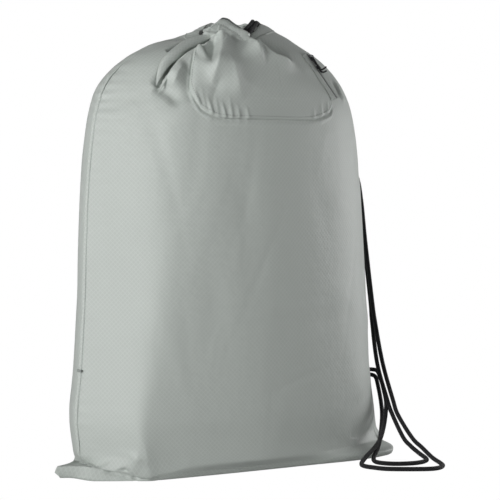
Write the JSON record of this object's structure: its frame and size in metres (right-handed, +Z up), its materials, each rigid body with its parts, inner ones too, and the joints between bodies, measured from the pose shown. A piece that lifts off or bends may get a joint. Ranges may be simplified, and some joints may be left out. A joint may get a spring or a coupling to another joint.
{
  "type": "laundry bag",
  "caption": "Filled drawstring laundry bag standing on flat boxed corners, with a gathered mouth, a small zipped pocket and a doubled shoulder cord.",
  "frame": {"origin": "on the floor under the middle of the bag", "axes": "+Z up to the mouth; -Y the front with the pocket; +X the side that the shoulder cord hangs on"},
  "size_m": [0.497, 0.3174, 0.5586],
  "materials": {
    "ripstop": "satin grey-green ripstop cloth",
    "binding_tape": "matt woven tape",
    "zip_tape_cloth": "matt woven tape",
    "zip_coil_plastic": "semi-matt",
    "zip_metal": "dark satin",
    "black_cord": "braided cord",
    "seam_thread": "sewing thread"
  },
  "bodies": {
    "bag": {"front_panel": "ripstop", "back_panel": "ripstop", "front_drawcord_tunnel": "ripstop", "back_drawcord_tunnel": "ripstop", "left_seam_binding": "binding_tape", "right_seam_binding": "binding_tape", "bottom_seam_binding": "binding_tape", "pocket_panel": "ripstop", "zip_tape_left": "zip_tape_cloth", "zip_tape_right": "zip_tape_cloth", "zip_coil_left": "zip_coil_plastic", "zip_coil_right": "zip_coil_plastic", "zip_top_stop": "zip_metal", "zip_bottom_stop": "zip_metal", "drawcord_in_mouth": "black_cord", "shoulder_cord_outer": "black_cord", "shoulder_cord_inner": "black_cord", "cord_anchor_tab": "ripstop", "bar_tack_left": "seam_thread"},
    "slider": {"zip_slider": "zip_metal", "slider_bail": "zip_metal"},
    "pull": {"pull_cord_loop": "black_cord", "pull_cord_knot": "black_cord", "pull_cord_upper_tail": "black_cord", "pull_cord_lower_tail": "black_cord"}
  },
  "joints": [
    {"name": "zip_slide", "type": "slide", "parent": "bag", "child": "slider", "axis": [0.4136, -0.3818, -0.8265], "range_m": [0, 0.0525]},
    {"name": "pull_swing", "type": "hinge", "parent": "slider", "child": "pull", "pos_m": [0.09424, -0.05078, 0.51113], "axis": [-0.8411, -0.5077, -0.1864], "range_deg": [0, 150]}
  ]
}
